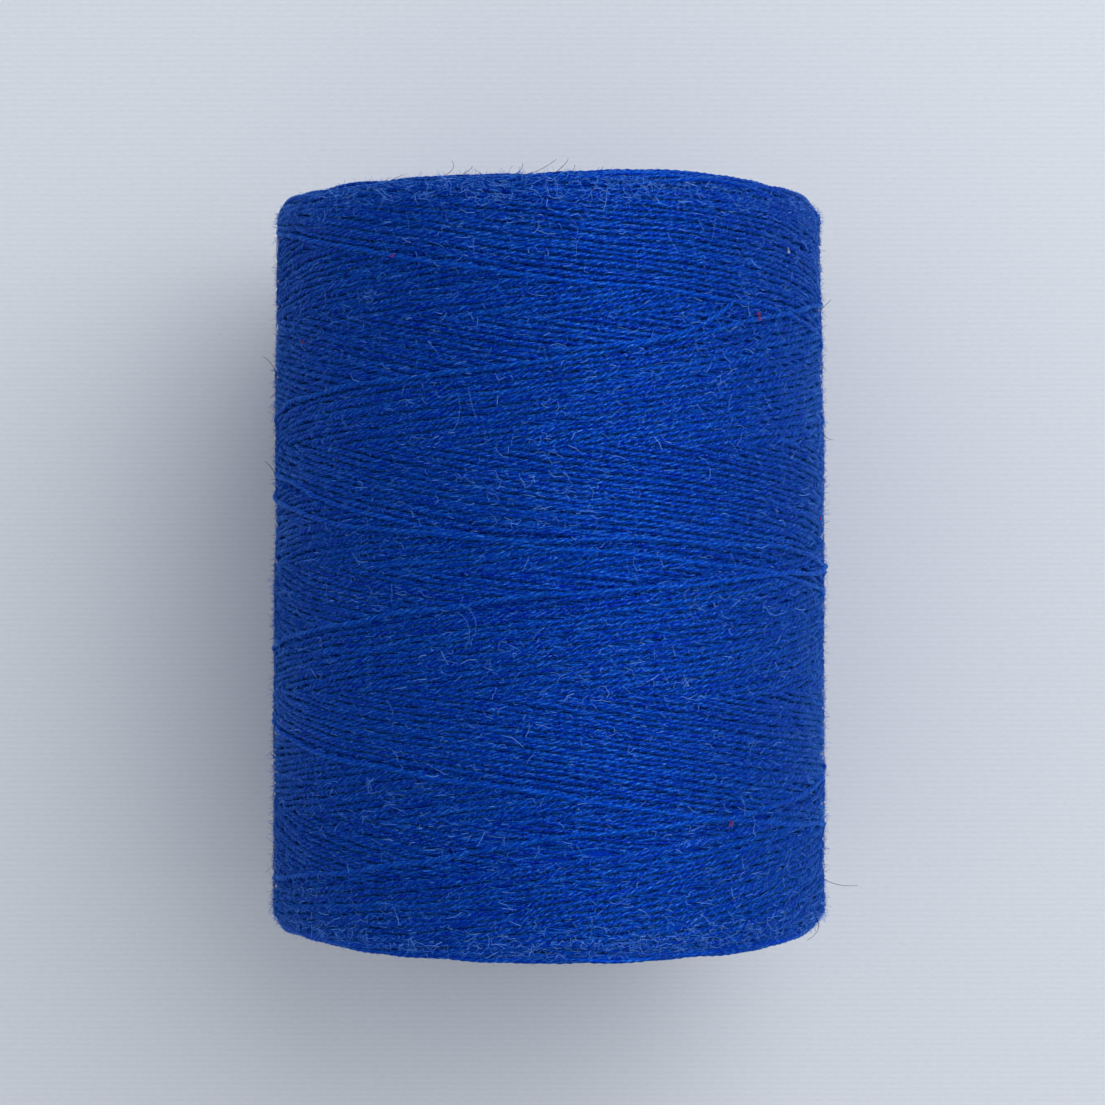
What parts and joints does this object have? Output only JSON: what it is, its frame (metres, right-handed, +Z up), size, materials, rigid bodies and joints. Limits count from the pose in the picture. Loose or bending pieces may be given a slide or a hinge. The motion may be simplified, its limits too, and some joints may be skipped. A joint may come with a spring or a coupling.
{
  "type": "spool of thread",
  "caption": "Cross-wound package of sewing thread on a flangeless paper tube, lying on its side, with a bore that fits over a spool pin.",
  "frame": {"origin": "on the surface that the spool lies on, under the middle of its axis", "axes": "+Z up, +Y along the spool's axis towards its far end, +X to the right of somebody who looks along +Y"},
  "size_m": [0.03, 0.041, 0.0298],
  "materials": {
    "blue_thread": "matte spun thread with short loose fibres",
    "tube_liner": "plain brown paper",
    "tube_board": "grey-brown board, cut edge",
    "tube_wrap": "smooth off-white paper"
  },
  "bodies": {
    "root": {"tube_inner_ply": "tube_liner", "tube_middle_ply": "tube_board", "tube_outer_ply": "tube_wrap", "thread_package": "blue_thread", "outer_winding": "blue_thread", "thread_end": "blue_thread"}
  },
  "joints": []
}
